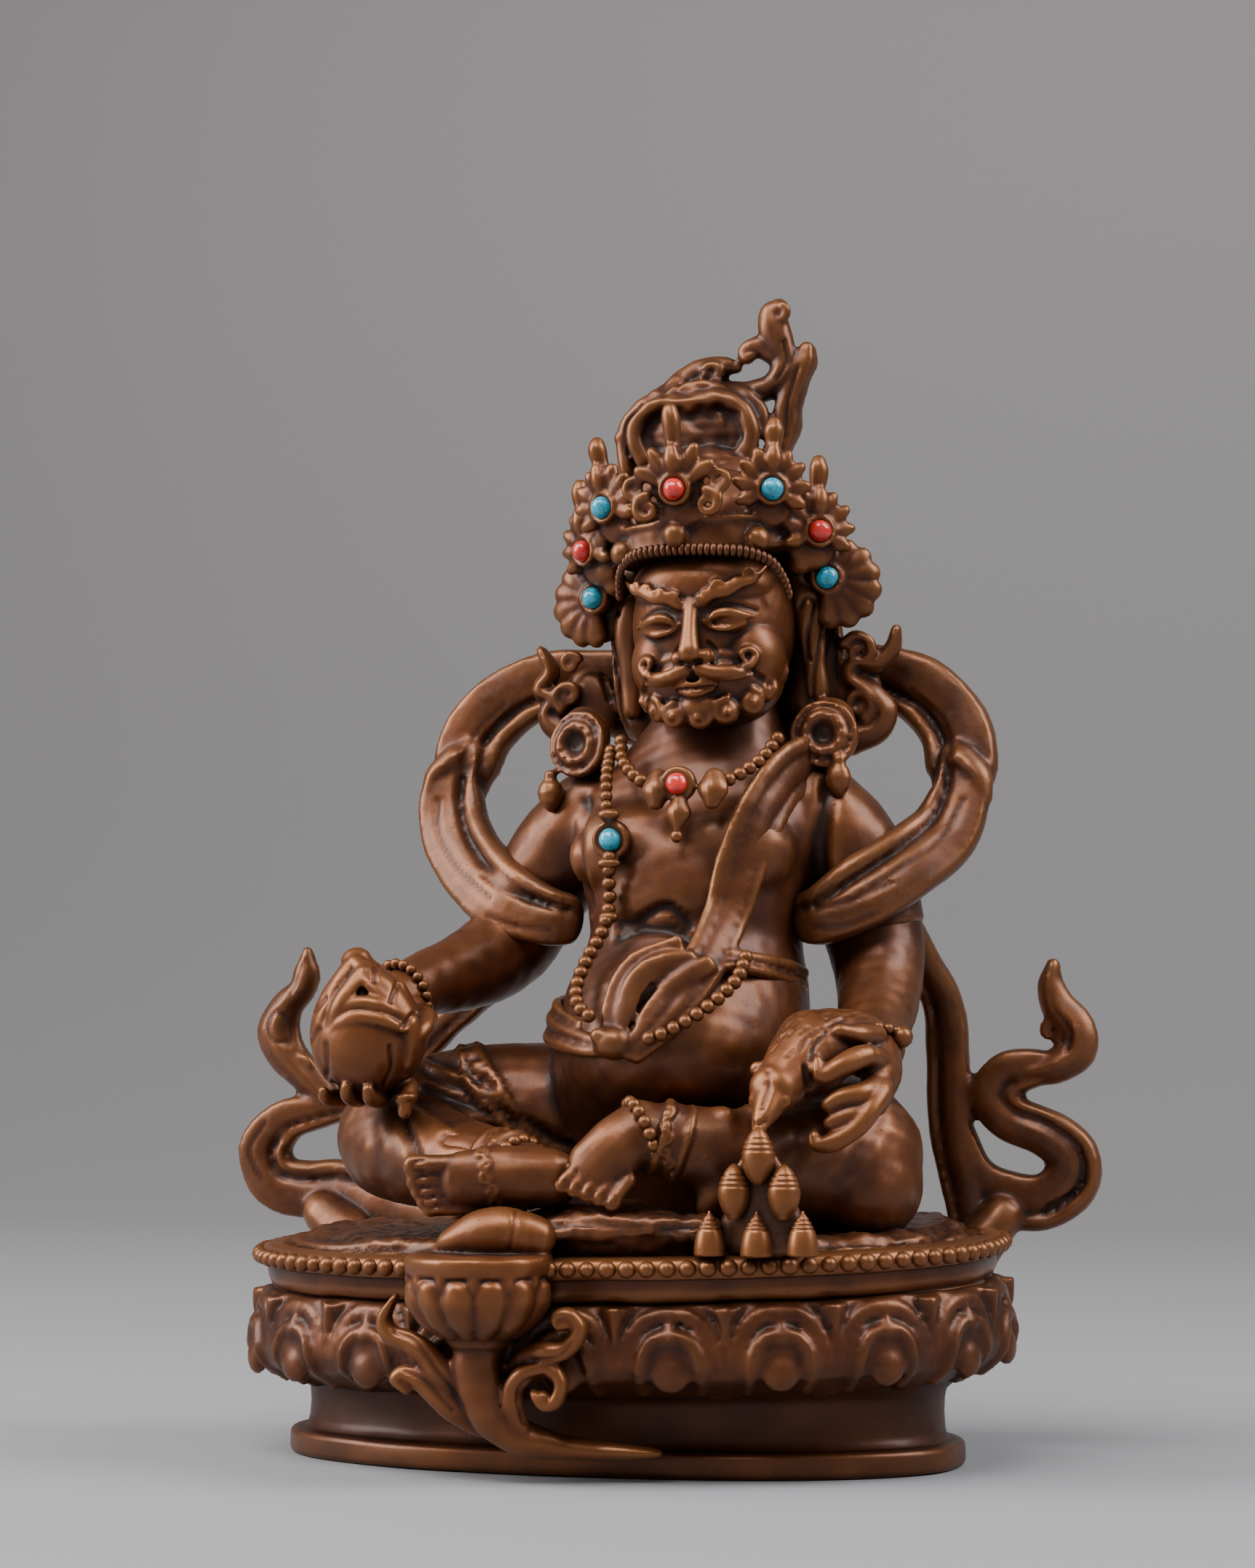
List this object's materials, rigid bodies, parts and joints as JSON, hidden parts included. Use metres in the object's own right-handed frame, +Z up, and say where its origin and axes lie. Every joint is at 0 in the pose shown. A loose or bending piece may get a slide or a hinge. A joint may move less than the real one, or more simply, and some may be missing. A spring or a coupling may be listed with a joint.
{
  "type": "jambhala statue",
  "caption": "Small cast copper statue of the wealth deity Jambhala seated on an oval lotus base, set with coral and turquoise cabochons.",
  "frame": {"origin": "centre of the flat underside of the lotus base", "axes": "+Z up, the figure faces -Y, +X towards its left hand"},
  "size_m": [0.0752, 0.0499, 0.0957],
  "materials": {
    "copper": "satin, dark brown patina on cast copper",
    "coral": "polished red coral",
    "turquoise": "polished turquoise"
  },
  "bodies": {
    "root": {"statue_casting": "copper", "crown_front_coral": "coral", "crown_left_side_coral": "coral", "crown_right_side_coral": "coral", "necklace_coral": "coral", "crown_left_front_turquoise": "turquoise", "crown_right_front_turquoise": "turquoise", "ear_left_turquoise": "turquoise", "ear_right_turquoise": "turquoise", "strand_turquoise": "turquoise"}
  },
  "joints": []
}
